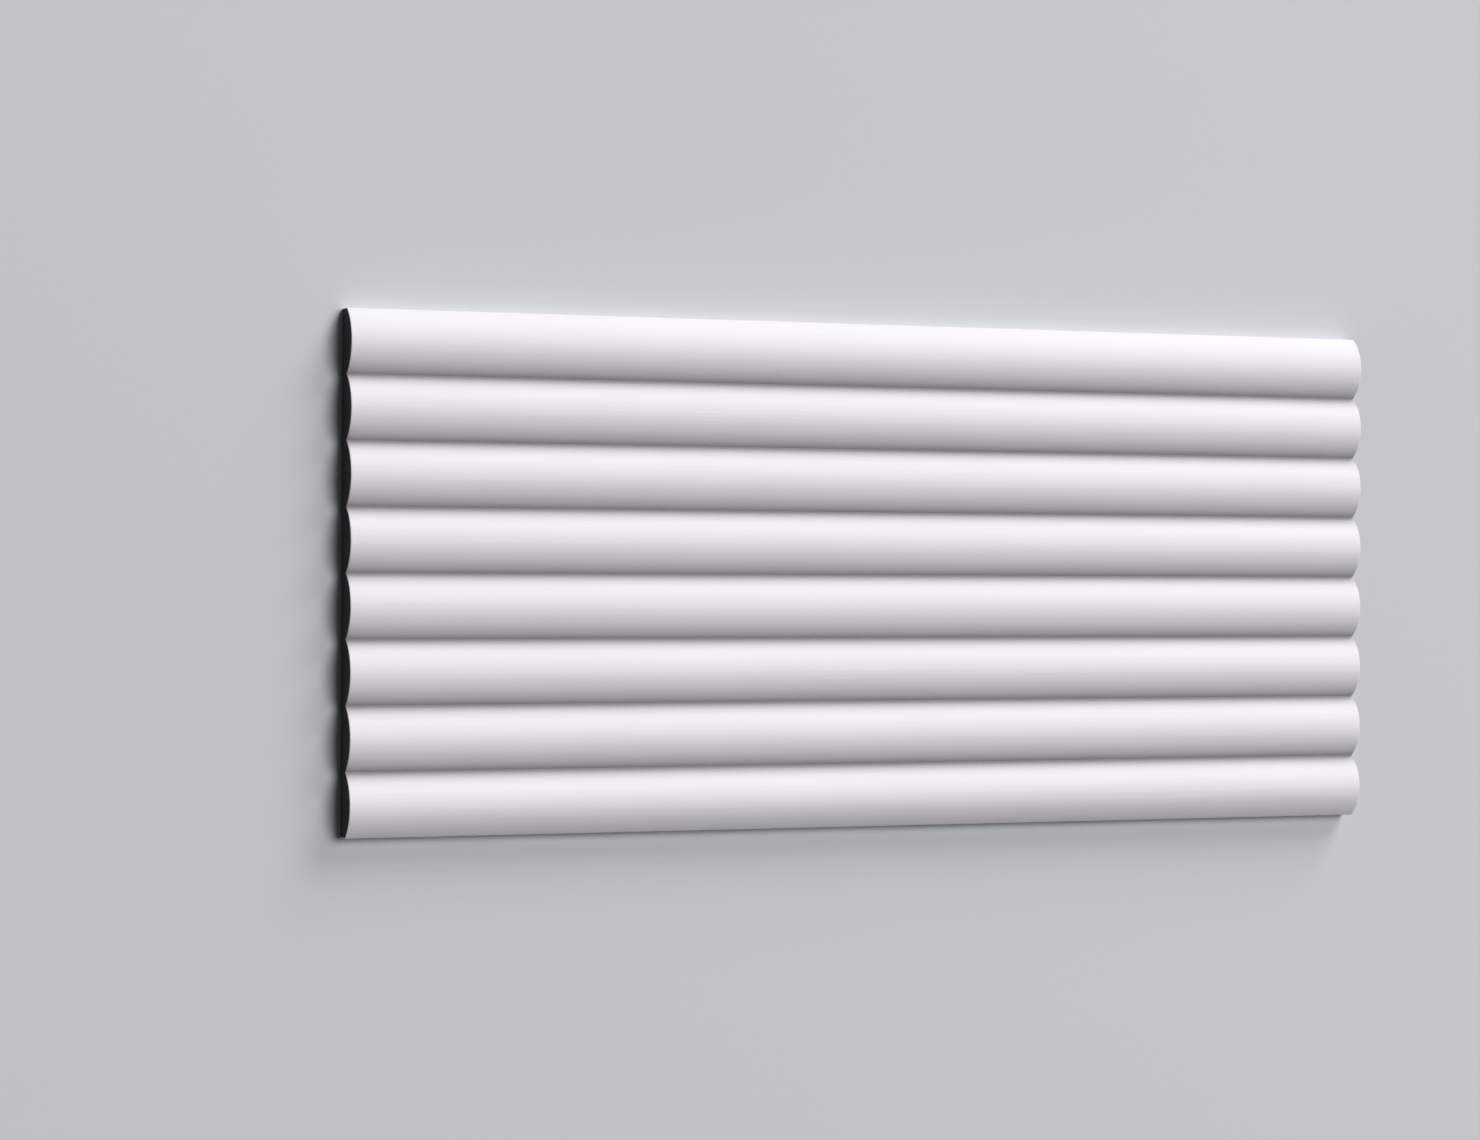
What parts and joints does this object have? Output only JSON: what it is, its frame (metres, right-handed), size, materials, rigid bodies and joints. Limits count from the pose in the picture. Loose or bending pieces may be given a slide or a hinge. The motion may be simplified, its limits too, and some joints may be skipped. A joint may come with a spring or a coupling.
{
  "type": "reeded wall panel",
  "caption": "Flat-backed white wall panel with round convex reeds running along its length, for gluing to a wall edge to edge with others.",
  "frame": {"origin": "centre of the flat back, midway along the length and midway across the width", "axes": "+X along the reeds, +Y across them, +Z out of the back through the reeds; the panel lies on its back"},
  "size_m": [0.55, 0.25, 0.016],
  "materials": {
    "white_finish": "matte"
  },
  "bodies": {
    "root": {"wall_panel": "white_finish"}
  },
  "joints": []
}
